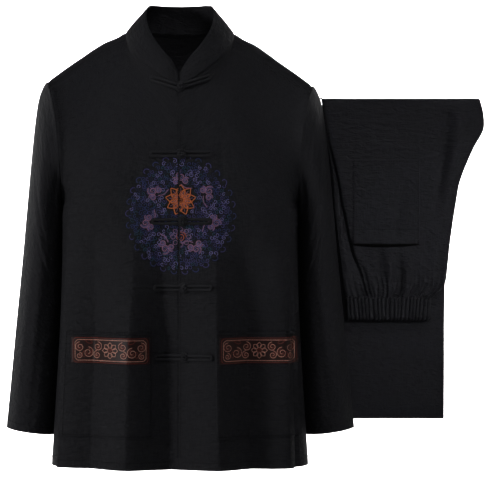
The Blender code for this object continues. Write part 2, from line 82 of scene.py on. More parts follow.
# Flutes of the skirt: where each crest or hollow runs at the hem and at the chest, round the
# girth from the middle of the front or back, and how far it stands out (or in).
FRONT_FLUTES = (
    ("at_hem", "at_chest", "out"),
    (-213, -202, 6),
    (-157, -140, -10),
    (-84, -72, 12),
    (-14, -30, -11),
    (64, 58, 12),
    (126, 104, -12),
    (180, 168, 9),
    (216, 204, -4),
)
BACK_FLUTES = (
    ("at_hem", "at_chest", "out"),
    (-222, -206, 5),
    (-150, -140, -8),
    (-80, -72, 8),
    (-6, -4, -6),
    (70, 62, 9),
    (146, 136, -8),
    (214, 200, 5),
)
FLUTES_START_Z = -250
FLUTES_FULL_Z = -560
FLUTES_DEPTH = 1.75  # how much deeper the soft cloth folds than its plain solid

RIGHT_COLUMNS = (("share", "cells"), (0.155, 3), (NECK_SHARE, 3), (0.700, 5), (1.0, 5))
LEFT_COLUMNS = (("share", "cells"), (0.205, 3), (NECK_SHARE, 3), (0.780, 6), (1.0, 4))
BACK_COLUMNS = (("share", "cells"), (NECK_SHARE, 5), (1.0, 9))
ROW_LEVELS = (("z", "cells"), (-671, 2), (-498, 5), (CHEST_Z, 5))
FRONT_EASING = 6
BACK_EASING = 5
ARMHOLE_SHARES = (0, 0.08, 0.2, 0.34, 0.5, 0.66, 0.8, 0.92, 1)
# How many parts each cell of a piece's plain grid is divided into, up and across.
FRONT_FINER = (8, 7)
BACK_FINER = (7, 5)
SLEEVE_FINER = (10, 7)
COLLAR_FINER = (8, 6)
TROUSERS_FINER = (6, 9)
POCKET_ROWS = (2, 7)  # plain rows of a front at which its patch pocket begins and ends
SHOULDER_GROOVE = ((-5, 0.5), (-6, 1.6), (-7, 0.5))  # fine rows of a front, and how far each sinks
UNDERLAP = 7  # width of the right front's strip behind the left front's edge

SLEEVE = (
    ("along", "outer_x", "outer_z", "inner_x", "inner_z", "depth", "middle", "lean"),
    (0, 222, -82, 197, -300, 78, -6, 3.5),
    (0.04, 230, -91, 198.4, -304, 82, 2, 2.4),
    (0.10, 238, -112, 198.1, -313, 85, 8, 1.6),
    (0.22, 247, -176, 197.9, -338, 86, 13, 1.0),
    (0.38, 257, -281, 198.3, -396, 82, 17, 1.0),
    (0.55, 267, -390, 200.0, -464, 74, 20, 1.0),
    (0.72, 278, -500, 203.5, -536, 65, 22, 1.0),
    (0.88, 288, -606, 209.0, -628, 57, 24, 1.0),
    (1.0, 294, -664, 212.4, -676, 52, 25, 1.0),
)
SLEEVE_STEPS = (0, 0.04, 0.1, 0.16, 0.23, 0.3, 0.37, 0.44, 0.51, 0.58, 0.65, 0.73, 0.81, 0.9, 1)

COLLAR_TOP_X = 57
COLLAR_TOP_FRONT = 95
COLLAR_TOP_BACK = 62
COLLAR_FRONT_Z = -66
COLLAR_SIDE_Z = 33
COLLAR_BACK_Z = 50
COLLAR_BACK_RISE = 4
LEFT_SHOULDER_DROP = 7

FROGS = (
    ("name", "z", "knot_x", "right_end", "left_end"),
    ("neck", -98, 2, -46, 50),
    ("chest", -208, 3, -46, 53),
    ("middle", -318, 5, -42, 52),
    ("waist", -426, 8, -39, 52),
    ("skirt", -539, 9, -38, 53),
)
NECK_FROG_LIFT = 0.33
CORD_APART = 3.2  # from a frog's middle line to the middle of each of its two cords
EYE_RADIUS = 6.6  # loop round the knot
KNOT_RADIUS = 4.3

TROUSERS = (
    ("z", "left", "crease", "right", "leg_left", "leg_right"),
    (-655, 231, 300, 452, 231, 452),
    (-446, 282, 322, 432, 237, 453),
    (-434, 280, 318, 446, 238, 453),
    (-417, 278, 313, 454, 239, 453),
    (-389, 275, 305, 457, 240, 455),
    (-362, 272, 294, 460, 243, 458),
    (-329, 268, 289, 464, 247, 462),
    (-293, 264, 280, 470, 250, 468),
    (-255, 262, 274, 476, 253, 474),
    (-221, 258, 267, 488, 254, 486),
    (-191, 253, 259, 501, 251, 498),
    (-164, 249, 254, 517, 247, 514),
    (-129, 244, 248, 518, 244, 515),
    (-105, 242, 245, 511, 242, 509),
)
TOP_FOLD_Z = -105
BOTTOM_FOLD_Z = -655
WAISTBAND_TOP = -446
WAISTBAND_BOTTOM = -483
WAISTBAND_LEFT = 282
WAISTBAND_RIGHT = 430
WAISTBAND_GATHERS = 22
WAISTBAND_FOLD = 4.2  # depth of a gather
SEAT_DEPTH = 20
LEG_DEPTH = 11
TUCK = 5
TUCKED = 0.15  # share of the packet's width that turns back at its left crease
GATHERS_PROUD = 3.2  # how far the waistband's gathers stand in front of the seat
GATHERED_ROWS = 13  # plain rows of the seat that the gathers reach, and the creases
CREASED_ROWS = 15
BACK_POCKET = {"left": 294, "right": 409, "top": -210, "bottom": -354}
POCKET_GAPE = 5  # how far the hip pocket's mouth stands open
MOUTH_ROWS = 3


def smooth(share):
    share = np.clip(share, 0.0, 1.0)
    return share * share * (3 - 2 * share)


def mix(low, high, share):
    return low + (high - low) * share


def read(table, column, where):
    """The table's column at a place on its first column, rounded between its rows."""
    k = table[0].index(column)
    rows = table[1:]
    where = min(max(where, rows[0][0]), rows[-1][0])
    i = 0
    while i < len(rows) - 2 and rows[i + 1][0] < where:
        i += 1
    span = rows[i + 1][0] - rows[i][0]
    slopes = []
    for j in (i, i + 1):
        before = rows[max(j - 1, 0)]
        after = rows[min(j + 1, len(rows) - 1)]
        slopes.append((after[k] - before[k]) / (after[0] - before[0]) * span)
    t = (where - rows[i][0]) / span
    low, high = rows[i][k], rows[i + 1][k]
    rise = t * t * (3 - 2 * t)
    bend = (t - 2 * t * t + t ** 3) * slopes[0] + (t ** 3 - t * t) * slopes[1]
    return low + (high - low) * rise + bend


def steps(start, table):
    """Evenly divided places from the start through each end that the table names."""
    places = [start]
    for end, cells in table[1:]:
        begin = places[-1]
        places += [mix(begin, end, (i + 1) / cells) for i in range(cells)]
    return places


def bow(share):
    """Roundness of an armhole or sleeve ring from its low point (0) to its high point (1)."""
    return (4 * share * (1 - share)) ** 0.7


def quarter(half_width, depth, power, end_depth, shares):
    """Points (x, y outwards) of a body section, at shares of its girth from middle to edge."""
    end = math.acos(min(end_depth / depth, 1.0) ** (power / 2))
    turn = np.linspace(0, end, 81)
    x = half_width * np.sin(turn) ** (2 / power)
    y = depth * np.maximum(np.cos(turn), 0.0) ** (2 / power)
    along = np.concatenate([[0], np.cumsum(np.hypot(np.diff(x), np.diff(y)))])
    places = np.array(shares) * along[-1]
    return np.interp(places, along, x), np.interp(places, along, y)


def armhole_x(share):
    return CHEST_X + (SHOULDER_X - CHEST_X) * share ** 3.5


def neck_point(turn, back):
    """Seam of the neck, a quarter turn from the middle of the front or back to the side."""
    x = NECK_X * math.sin(turn)
    if back:
        return x, (NECK_BACK + NECK_FORWARD) * math.cos(turn) - NECK_FORWARD, 3 * math.cos(turn)
    lift = turn / (math.pi / 2)
    return x, (NECK_FORWARD - NECK_FRONT) * math.cos(turn) - NECK_FORWARD, NECK_DROP * (lift - 1)


def top_edge(share, back):
    """Neck seam and shoulder seam of one side, from the middle out to the shoulder point."""
    if share <= NECK_SHARE:
        return neck_point(math.pi / 2 * share / NECK_SHARE, back)
    out = (share - NECK_SHARE) / (1 - NECK_SHARE)
    y = mix(-NECK_FORWARD, -SEAM_FORWARD, out)
    return mix(NECK_X, SHOULDER_X, out), y, SHOULDER_Z * out + 5 * math.sin(math.pi * out)


def flute_depth(flutes, place, z):
    """How far the skirt's folds push the cloth out, at places round the girth and heights."""
    grown = smooth((FLUTES_START_Z - z) / (FLUTES_START_Z - FLUTES_FULL_Z))
    down = (CHEST_Z - z) / (CHEST_Z - HEM_Z)
    push = np.zeros_like(place)
    for (hem, chest, out), (next_hem, next_chest, next_out) in zip(flutes[1:], flutes[2:]):
        crest, next_crest = mix(chest, hem, down), mix(next_chest, next_hem, down)
        t = (place - crest) / (next_crest - crest)
        slope = mix(out, next_out, mix(t, smooth(t), 0.35))
        push = np.where((t >= 0) & (t < 1), slope, push)
    return push * grown * FLUTES_DEPTH


def half_row(shares, side, back, z, armhole):
    """One row of half a body panel. The armhole share is None under the chest."""
    turned = 1 if back else -1
    depth = read(BODY, "back" if back else "front", z)
    power = read(BODY, "power", z)
    if armhole is None:
        half_width, end_depth, middle = read(BODY, "half_width", z), 0.0, 0.0
    else:
        end_depth = ARMHOLE_DEPTH * bow(armhole)
        half_width = armhole_x(armhole) / (1 - (end_depth / depth) ** power) ** (1 / power)
        middle = -SEAM_FORWARD * armhole
    xs, ys = quarter(half_width, depth, power, end_depth, shares)
    row = []
    for share, x, y in zip(shares, xs, ys):
        point = Vector((side * x, middle + turned * y, z))
        if armhole:
            point += shoulder_shift(share, side, back, armhole)
        row.append(point)
    return row


def shoulder_shift(share, side, back, armhole):
    """What carries a point of the upright chest over to the neck and shoulder seams."""
    turned = 1 if back else -1
    depth = read(BODY, "back" if back else "front", SHOULDER_Z)
    power = read(BODY, "power", SHOULDER_Z)
    x, y = quarter(SHOULDER_X, depth, power, 0.0, [share])
    goal = Vector(top_edge(share, back))
    across = (goal.x - x[0]) * armhole ** 2
    if back:
        lean = 1 - math.cos(math.pi / 2 * armhole)
        over = mix(1.6, 2.1, smooth((share - NECK_SHARE) / 0.2))
        arch = math.sin(over * armhole) / math.sin(over)
    else:
        lean = armhole ** (2.4 + 2 * math.exp(-(((share - NECK_SHARE) / 0.22) ** 2)))
        arch = armhole
    inwards = (goal.y - (turned * y[0] - SEAM_FORWARD)) * lean
    upright = CHEST_Z + (SHOULDER_Z - CHEST_Z) * armhole
    height = mix(arch, armhole, share ** 4)
    return Vector((side * across, inwards, CHEST_Z + (goal.z - CHEST_Z) * height - upright))


def panel_rows(shares, side, back):
    """Rows of half a body panel, from the hem up to the neck and shoulder seams."""
    rows = [half_row(shares, side, back, z, None) for z in steps(HEM_Z, ROW_LEVELS)]
    for armhole in ARMHOLE_SHARES[1:]:
        rows.append(half_row(shares, side, back, mix(CHEST_Z, SHOULDER_Z, armhole), armhole))
    return rows


def relaxed(rows, passes):
    """The panel with its yoke eased, above the chest, as a soft cloth evens itself out."""
    grid = np.array(rows)
    first = len(rows) - len(ARMHOLE_SHARES) + 1
    for _ in range(passes):
        eased = grid.copy()
        beside = grid[first:-1, :-2] + grid[first:-1, 2:]
        around = beside + grid[first - 1:-2, 1:-1] + grid[first + 1:, 1:-1]
        eased[first:-1, 1:-1] = grid[first:-1, 1:-1] * 0.4 + around * 0.15
        grid = eased
    return grid


def hung(grid):
    """The grid as the jacket hangs, with its left shoulder a little lower."""
    grid = np.array(grid, float)
    across, up = smooth((grid[..., 0] - 50) / 130), smooth((grid[..., 2] + 320) / 220)
    grid[..., 2] -= LEFT_SHOULDER_DROP * across * up
    return grid


def sleeve_rows(side):
    """Rings of a sleeve, from the armhole down to the cuff."""
    rows = []
    for along in SLEEVE_STEPS:
        size = {name: read(SLEEVE, name, along) for name in SLEEVE[0][1:]}
        ring = []
        for turned in (-1, 1):
            for share in ARMHOLE_SHARES[:-1] if turned < 0 else ARMHOLE_SHARES[:0:-1]:
                x = mix(size["inner_x"], size["outer_x"], share ** size["lean"])
                tilt = 6 - 12 * share if along == 0 else 0
                y = turned * size["depth"] * bow(share) + size["middle"] + tilt
                ring.append((side * x, y, mix(size["inner_z"], size["outer_z"], share)))
        rows.append(ring)
    return np.array(rows)


def neck_turns(table):
    """Turns round the neck, from the middle out to the side, of a panel's columns."""
    shares = [share for share in steps(0.0, table) if share <= NECK_SHARE + 0.001]
    return [math.pi / 2 * share / NECK_SHARE for share in shares]


def collar_rows():
    """From the front's middle round the wearer's left side and back, to the middle again."""
    back_turns = [math.pi - turn for turn in neck_turns(BACK_COLUMNS)]
    left = neck_turns(LEFT_COLUMNS) + back_turns[-2::-1]
    right = neck_turns(RIGHT_COLUMNS) + back_turns[-2:0:-1]
    places = [(1, max(turn, 0.012)) for turn in left]
    places += [(-1, max(turn, 0.012)) for turn in right[::-1]]
    rows = []
    for level in (0, 0.5, 1):
        row = []
        for side, turn in places:
            back = turn > math.pi / 2
            low = Vector(neck_point(math.pi - turn if back else turn, back))
            depth = COLLAR_TOP_BACK if back else COLLAR_TOP_FRONT
            if back:
                z = mix(COLLAR_SIDE_Z, COLLAR_BACK_Z, 1 - (1 + math.cos(turn)) ** COLLAR_BACK_RISE)
            else:
                z = mix(COLLAR_FRONT_Z, COLLAR_SIDE_Z, turn / (math.pi / 2))
                z -= 9 * max(0.0, 1 - turn / 0.14) ** 2
            high = Vector((COLLAR_TOP_X * math.sin(turn), -depth * math.cos(turn), z))
            point = low.lerp(high, level)
            point.x *= side
            outwards = Vector((point.x, point.y, 0)).normalized()
            row.append(point + outwards * 2.5 * math.sin(math.pi * level))
        rows.append(row)
    return np.array(rows)


def across_trousers(z, share, layer):
    """X of a place across a layer of the trousers, and how far it is tucked back."""
    if layer == "leg":
        left, right = read(TROUSERS, "leg_left", z), read(TROUSERS, "leg_right", z)
        return mix(left, right, share), 0.0
    left, crease, right = (read(TROUSERS, name, z) for name in ("left", "crease", "right"))
    if share < TUCKED:
        return mix(left, crease - 3, share / TUCKED), TUCK * (0.5 + 1.4 * (share / TUCKED) ** 3)
    return mix(crease, right, (share - TUCKED) / (1 - TUCKED)), 0.0


def trouser_rows(front_y):
    """The outer layer: seat, over the top fold, down the leg's back, and up its front."""
    shares = [i / 3 * 0.14 for i in range(4)] + [mix(TUCKED, 1, i / 16) for i in range(17)]
    leg_y = front_y + SEAT_DEPTH
    back_y = leg_y + LEG_DEPTH
    path = [(z, "seat", front_y) for z in (-446, -440, -431, -417, -398, -374, -346, -314)]
    path += [(z, "seat", front_y) for z in (-282, -250, -218, -188, -160, -135)]
    seat_rows = len(path)
    for i in range(1, 6):
        turn = math.pi * i / 6
        y = mix(front_y, back_y, (1 - math.cos(turn)) / 2)
        path.append((TOP_FOLD_Z - 13 + 13 * math.sin(turn), "seat" if i < 4 else "leg", y))
    path += [(z, "leg", back_y) for z in (-135, -191, -255, -360, -500, -640)]
    for i in range(1, 4):
        turn = math.pi * i / 4
        y = mix(back_y, leg_y, (1 - math.cos(turn)) / 2)
        path.append((BOTTOM_FOLD_Z + 6 - 6 * math.sin(turn), "leg", y))
    path += [(z, "leg", leg_y) for z in (-640, -560, -470, -380, -290, -200, -140)]
    rows = []
    for place, (z, layer, y) in enumerate(path):
        row = []
        for share in shares:
            x, tuck = across_trousers(z, share, layer)
            past = place - seat_rows
            deep = tuck if past < 0 else tuck * max(0, 2 - past) / 3
            roll = 3.5 * (abs(2 * share - 1) ** 6) if past < 0 else 0.0
            row.append((x, y + deep + roll, z))
        rows.append(row)
    return np.array(rows)


def spline(points, cells, closed=False):
    """A line or grid made denser along its first axis, on a smooth curve through its points."""
    if closed:
        before, here, after, beyond = (np.roll(points, turn, 0) for turn in (1, 0, -1, -2))
    else:
        ends = [2 * points[:1] - points[1:2], points, 2 * points[-1:] - points[-2:-1]]
        longer = np.concatenate(ends)
        before, here, after, beyond = longer[:-3], longer[1:-2], longer[2:-1], longer[3:]
    parts = []
    for t in np.arange(cells) / cells:
        bend = (after - before) * (t - 2 * t * t + t ** 3) + (beyond - here) * (t ** 3 - t * t)
        parts.append(mix(here, after, t * t * (3 - 2 * t)) + bend / 2)
    dense = np.stack(parts, 1).reshape(-1, *points.shape[1:])
    return dense if closed else np.concatenate([dense, points[-1:]])


def finer(rows, up, across, closed=False):
    """The grid with each of its cells divided, on smooth curves through its points."""
    return spline(spline(np.array(rows), up).swapaxes(0, 1), across, closed).swapaxes(0, 1)


def pulled_in(grid, edges, gap=SEAM_GAP):
    """The grid with its named border rows or columns drawn back over the cloth."""
    grid = grid.copy()
    for edge in edges:
        lines = grid if edge.endswith("row") else grid.swapaxes(0, 1)
        border, inner = (0, 1) if edge.startswith("first") else (-1, -2)
        into = lines[inner] - lines[border]
        lines[border] += into / np.linalg.norm(into, axis=-1, keepdims=True) * gap
    return grid


def normals(grid, closed=False):
    """Directions square to a grid, towards across x up."""
    if closed:
        across = np.roll(grid, -1, 1) - np.roll(grid, 1, 1)
    else:
        across = np.gradient(grid, axis=1)
    square = np.cross(across, np.gradient(grid, axis=0))
    return square / np.maximum(np.linalg.norm(square, axis=-1, keepdims=True), 1e-9)


def laid_out(grid, closed=False):
    """Each point's place on the flat cloth, in metres: across and up."""
    wide = np.concatenate([grid, grid[:, :1]], 1) if closed else grid
    across = np.linalg.norm(np.diff(wide, axis=1), axis=-1).mean(0)
    up = np.linalg.norm(np.diff(wide, axis=0), axis=-1).mean(1)
    u = np.concatenate([[0], np.cumsum(across)]) * MM
    v = np.concatenate([[0], np.cumsum(up)]) * MM
    return u, v


def row_places(grid):
    """How far each point lies from the start of its row, measured along the cloth."""
    parts = np.linalg.norm(np.diff(grid, axis=1), axis=-1)
    return np.concatenate([np.zeros((len(grid), 1)), np.cumsum(parts, 1)], 1)


def in_scene(name, mesh, materials):
    """An object of the mesh, shaded smooth, with its materials."""
    for material in materials:
        mesh.materials.append(material)
    mesh.shade_smooth()
    piece = bpy.data.objects.new(name, mesh)
    bpy.context.scene.collection.objects.link(piece)
    return piece


def cloth_piece(name, grid, material, closed=False, flip=False, wall=CLOTH, outwards=False):
    """One layer of cloth through a grid of points, given its thickness."""
    height, width = grid.shape[:2]
    u, v = laid_out(grid, closed)
    cells = width if closed else width - 1
    faces, places = [], []
    for j in range(height - 1):
        for i in range(cells):
            a, b = j * width + i, j * width + (i + 1) % width
            corners = [(a, u[i], v[j]), (b, u[i + 1], v[j])]
            corners += [(b + width, u[i + 1], v[j + 1]), (a + width, u[i], v[j + 1])]
            if flip:
                corners.reverse()
            faces.append([corner[0] for corner in corners])
            places += [corner[1:] for corner in corners]
    mesh = bpy.data.meshes.new(name)
    mesh.from_pydata(grid.reshape(-1, 3) * MM, [], faces)
    mesh.uv_layers.new(name="cloth").uv.foreach_set("vector", np.array(places).ravel())
    piece = in_scene(name, mesh, [material])
    solid = piece.modifiers.new("wall", "SOLIDIFY")
    solid.thickness = wall * MM
    solid.offset = 1.0 if outwards else -1.0
    solid.use_rim = True
    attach(piece, "root")
    return piece


def linear(code):
    """A colour from its sRGB hex, in the linear values that a shader takes."""
    parts = [int(code[i:i + 2], 16) / 255 for i in (0, 2, 4)]
    return (*[p / 12.92 if p <= 0.04045 else ((p + 0.055) / 1.055) ** 2.4 for p in parts], 1)


def add(tree, kind, links=None, **settings):
    """A node of the kind with its settings, and its inputs set or joined to other outputs."""
    made = tree.nodes.new(kind)
    for name, value in settings.items():
        setattr(made, name, value)
    for socket, value in (links or {}).items():
        if isinstance(value, bpy.types.NodeSocket):
            tree.links.new(value, made.inputs[socket])
        else:
            made.inputs[socket].default_value = value
    return made


def new_material(name, roughness, specular):
    """A material with its tree and shader. A specular of 0.5 is that of a plain gloss."""
    material = bpy.data.materials.new(name)
    material.use_nodes = True
    shader = material.node_tree.nodes["Principled BSDF"]
    shader.inputs["Roughness"].default_value = roughness
    shader.inputs["Specular IOR Level"].default_value = specular
    return material, material.node_tree, shader


def crinkled_linen(name, light, dark, crinkle=1.0):
    """Black cotton and linen with uneven yarns, washed: dull, with crinkles 8 to 18 mm long."""
    material, tree, shader = new_material(name, 0.72, 0.03)
    place = add(tree, "ShaderNodeTexCoord").outputs["UV"]
    noises = []
    # Warp yarns, weft yarns and crinkles, as noise cells to a metre of cloth across and up.
    for cells, detail, swirl in (((420, 60), 3.0, 0.0), ((70, 520), 3.0, 0.0), ((55, 120), 5.0, 0.8)):
        drawn = add(tree, "ShaderNodeMapping", {"Vector": place, "Scale": (*cells, 1)})
        cloud = {"Vector": drawn.outputs[0], "Scale": 1.0, "Detail": detail, "Distortion": swirl}
        noises.append(add(tree, "ShaderNodeTexNoise", cloud))
    warp, weft, wash = noises
    yarns = add(tree, "ShaderNodeMath", {0: warp.outputs[0], 1: weft.outputs[0]}, operation="ADD")
    shade = add(tree, "ShaderNodeMapRange", {0: yarns.outputs[0], 1: 0.7, 2: 1.3})
    colour = add(tree, "ShaderNodeMix", {0: shade.outputs[0]}, data_type="RGBA")
    colour.inputs[6].default_value = linear(dark)
    colour.inputs[7].default_value = linear(light)
    tree.links.new(colour.outputs[2], shader.inputs["Base Color"])
    washed = {"Height": wash.outputs[0], "Distance": 0.007 * crinkle, "Strength": 0.6}
    crumple = add(tree, "ShaderNodeBump", washed)
    woven = {"Height": yarns.outputs[0], "Distance": 0.0006, "Strength": 0.6}
    grain = add(tree, "ShaderNodeBump", {**woven, "Normal": crumple.outputs[0]})
    tree.links.new(grain.outputs[0], shader.inputs["Normal"])
    return material


# The jacket's cloth, the trousers' slightly bluer one, and the frogs' smoother bias strips.
JACKET_CLOTH = crinkled_linen("jacket_crinkled_linen", "1a1a1c", "101012")
TROUSER_CLOTH = crinkled_linen("trouser_crinkled_linen", "1a1a1d", "101012")
PIPING = crinkled_linen("bias_cut_piping", "1e1e20", "131315", 0.3)


# Creases of the fronts and of the folded seat, as seen from the front. Each starts softly at
# its first end and is deepest at its second; "out" stands proud and a negative one sinks in.
FRONT_CREASES = (
    ("x", "z", "to_x", "to_z", "out", "width"),
    (65, -130, 72, -255, -1.6, 6),
    (-66, -195, -72, -280, -1.3, 6),
    (-165, -225, -95, -330, 1.6, 9),
    (-178, -270, -120, -420, -1.6, 9),
    (160, -235, 108, -330, 1.4, 9),
    (176, -275, 130, -430, -1.6, 9),
    (-120, -120, -150, -215, -1.2, 12),
    (118, -125, 150, -215, -1.2, 12),
    (-30, -120, -34, -200, -0.7, 5),
    (28, -125, 33, -200, -0.7, 5),
    (-20, -560, -26, -700, 1.0, 8),
    (24, -450, 30, -530, -0.9, 6),
)
SEAT_CREASES = (
    ("x", "z", "to_x", "to_z", "out", "width"),
    (431, -330, 460, -137, -7.5, 8),
    (446, -325, 478, -142, 3.2, 8),
    (383, -235, 366, -345, -2.8, 10),
    (338, -345, 344, -446, -6.0, 8),
    (377, -350, 370, -446, -6.5, 8),
    (358, -360, 357, -446, 3.0, 6),
    (396, -362, 384, -446, 3.2, 6),
    (415, -385, 399, -446, -5.0, 7),
    (446, -375, 420, -446, -5.0, 9),
    (304, -375, 326, -446, -5.0, 6),
    (318, -395, 334, -446, 2.6, 5),
)
SLEEVE_GIRTH = 380
SLEEVE_TAPER = 0.3
SLEEVE_LENGTH = 560
# Creases of a sleeve: shares of the way round (0 inside, 0.25 front, 0.5 outside) and down.
SLEEVE_CREASES = (
    ("round", "along", "to_round", "to_along", "out", "width"),
    (0.20, 0.02, 0.13, 0.26, -2.2, 10),
    (0.30, 0.05, 0.27, 0.40, 1.6, 13),
    (0.40, 0.30, 0.22, 0.44, -1.7, 8),
    (0.36, 0.40, 0.17, 0.52, 1.5, 7),
    (0.32, 0.47, 0.14, 0.55, -1.6, 6),
    (0.16, 0.45, 0.24, 0.95, -2.4, 11),
    (0.34, 0.55, 0.36, 0.98, 1.8, 12),
    (0.70, 0.15, 0.80, 0.45, -1.8, 10),
    (0.62, 0.42, 0.85, 0.52, 1.6, 8),
    (0.75, 0.52, 0.72, 0.96, -2.0, 11),
)


def pressed(grid, square, where, table, rows=None):
    """The grid with its creases pressed in, at each point's place in the table's own terms."""
    push = np.zeros(grid.shape[:2])
    for x, z, to_x, to_z, out, width in table[1:]:
        start, run = np.array((x, z), float), np.array((to_x - x, to_z - z), float)
        t = np.clip(((where - start) @ run) / (run @ run), 0, 1)
        away = np.linalg.norm(where - start - t[..., None] * run, axis=-1)
        push += out * np.exp(-((away / width) ** 2)) * smooth(t * 1.6 + 0.05)
    if rows is not None:
        push[rows:] = 0
    return grid + square * push[..., None]


def lines_on(grid, square, *places):
    """The grid's points at each of the places, with the directions square to the cloth there."""
    return [(grid[place], square[place]) for place in places]


def seamed(grid, square, edges, depth=1.5):
    """The grid drawn inwards along its named edges, where stitches pull the cloth down."""
    grid = grid.copy()
    for edge in edges:
        turned = edge.endswith("column")
        lines, ups = (grid.swapaxes(0, 1), square.swapaxes(0, 1)) if turned else (grid, square)
        for step, share in ((0, 1.0), (1, 0.35)):
            k = step if edge.startswith("first") else -1 - step
            lines[k] -= ups[k] * depth * share
    return grid


def mesh_piece(name, points, faces, materials, slots=None):
    """A piece from ready points in millimetres, smooth, and carried by the one body."""
    mesh = bpy.data.meshes.new(name)
    mesh.from_pydata(np.array(points) * MM, [], faces)
    piece = in_scene(name, mesh, materials)
    if slots is not None:
        mesh.polygons.foreach_set("material_index", slots)
    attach(piece, "root")
    return piece


def evenly(path, spacing):
    """Points along a path at an even spacing, with the path's own two ends."""
    path = np.array(path, float)
    along = np.concatenate([[0], np.cumsum(np.linalg.norm(np.diff(path, axis=0), axis=1))])
    places = np.linspace(0, along[-1], max(int(round(along[-1] / spacing)), 1) + 1)
    return np.stack([np.interp(places, along, path[:, k]) for k in range(path.shape[1])], 1)


def stitches(name, lines, material, length=2.7, gap=0.9, radius=0.42):
    """Rows of machine stitches: each a short thread that rises from the cloth and dips back."""
    points, faces = [], []
    for line, square in lines:
        both = evenly(np.concatenate([line, square], 1), length + gap)
        for a, b in zip(both, both[1:]):
            start, end, up = a[:3], mix(a[:3], b[:3], length / (length + gap)), a[3:]
            side = np.cross(end - start, up)
            side /= max(np.linalg.norm(side), 1e-6)
            base = len(points)
            for t, lift, wide in ((0, -0.1, 0.5), (0.5, 0.45, 1.0), (1, -0.1, 0.5)):
                here = mix(start, end, t) + up * lift
                points += [here + way * radius * wide for way in (-side, up, side)]
            for k in (0, 3):
                for i in (0, 1):
                    first = base + k + i
                    faces.append((first, first + 1, first + 4, first + 3))
    return mesh_piece(name, points, faces, [material])


def tubes(name, paths, material, wide=2.45, high=1.9, closed=False, sides=10):
    """Piping along each path: a fabric cord pressed a little flat against the cloth."""
    points, faces = [], []
    for path in paths:
        path = np.array(path, float)
        if closed:
            along = np.roll(path, -1, 0) - np.roll(path, 1, 0)
        else:
            along = np.gradient(path, axis=0)
        along /= np.linalg.norm(along, axis=1, keepdims=True)
        side = np.cross(along, (0, 1, 0))
        side /= np.maximum(np.linalg.norm(side, axis=1, keepdims=True), 1e-6)
        front = np.cross(side, along)
        base, count = len(points), len(path)
        for k in range(sides):
            turn = math.tau * k / sides
            points += list(path + side * wide * math.cos(turn) + front * high * math.sin(turn))
        for k in range(sides):
            a, b = base + k * count, base + (k + 1) % sides * count
            for i in range(count if closed else count - 1):
                j = (i + 1) % count
                faces.append((a + i, a + j, b + j, b + i))
        if not closed:
            faces.append([base + k * count for k in range(sides)])
            faces.append([base + k * count + count - 1 for k in range(sides)][::-1])
    return mesh_piece(name, points, faces, [material])


BEFORE_ALL_Y = -400  # well in front of every piece


def front_finder(pieces):
    """The cloth's face as seen square from the front, at an x and z in millimetres."""
    shapes = bpy.context.evaluated_depsgraph_get()
    trees = [BVHTree.FromObject(piece.evaluated_get(shapes), shapes) for piece in pieces]

    def find(x, z):
        for reach in (0.0, 1.5, 3.0):
            hits = []
            for aside in (0,) if reach == 0 else (reach, -reach):
                start = Vector((x + aside, BEFORE_ALL_Y, z)) * MM
                hits += [tree.ray_cast(start, Vector((0, 1, 0))) for tree in trees]
            hits = [hit for hit in hits if hit[0] is not None]
            if hits:
                nearest = min(hits, key=lambda hit: hit[3])
                return np.array((x, nearest[0].y / MM, z)), np.array(nearest[1])
        return None

    return find


def embroidery(name, strokes, find, materials, spacing=1.3, split=None):
    """Satin stitched lines: each stroke is (path, width, thread) and lies raised on the cloth."""
    points, faces, slots = [], [], []
    for path, width, thread in strokes:
        path = evenly(path, spacing)
        runs = [[]]
        for x, z in path:
            found = find(x, z)
            if found is None or (split is not None and abs(x - split) < 1.0):
                runs.append([])
            else:
                runs[-1].append(found)
        for run in runs:
            if len(run) < 2:
                continue
            place = np.array([found[0] for found in run])
            up = np.array([found[1] for found in run])
            side = np.cross(up, np.gradient(place, axis=0))
            side /= np.maximum(np.linalg.norm(side, axis=1, keepdims=True), 1e-6)
            taper = np.ones(len(run))
            taper[0] = taper[-1] = 0.45
            reach = side * (width / 2) * taper[:, None]
            base, count = len(points), len(run)
            points += list(place + reach + up * 0.1) + list(place + up * (0.25 + 0.28 * width))
            points += list(place - reach + up * 0.1)
            for row in (0, count):
                for i in range(count - 1):
                    a = base + row + i
                    faces.append((a, a + 1, a + count + 1, a + count))
                    slots.append(thread)
    return mesh_piece(name, points, faces, materials, slots)


def spiral(x, z, radius, turns, start=0.0, hand=1):
    """A curl that winds from its outer end in to its middle."""
    t = np.linspace(0, 1, max(int(12 * turns), 8))
    turn = start + hand * math.tau * turns * t
    out = radius * (1 - 0.86 * t)
    return np.stack([x + out * np.cos(turn), z + out * np.sin(turn)], 1)


def petal(x, z, turn, length, width, inner=0.0):
    """The outline of a pointed petal that stands out from a flower's middle."""
    t = np.concatenate([np.linspace(0, 1, 10), np.linspace(1, 0, 10)[1:]])
    half = width / 2 * np.sin(math.pi * t ** 0.8) * np.concatenate([np.ones(10), -np.ones(9)])
    out = inner + (length - inner) * t
    c, s = math.cos(turn), math.sin(turn)
    return np.stack([x + out * c - half * s, z + out * s + half * c], 1)


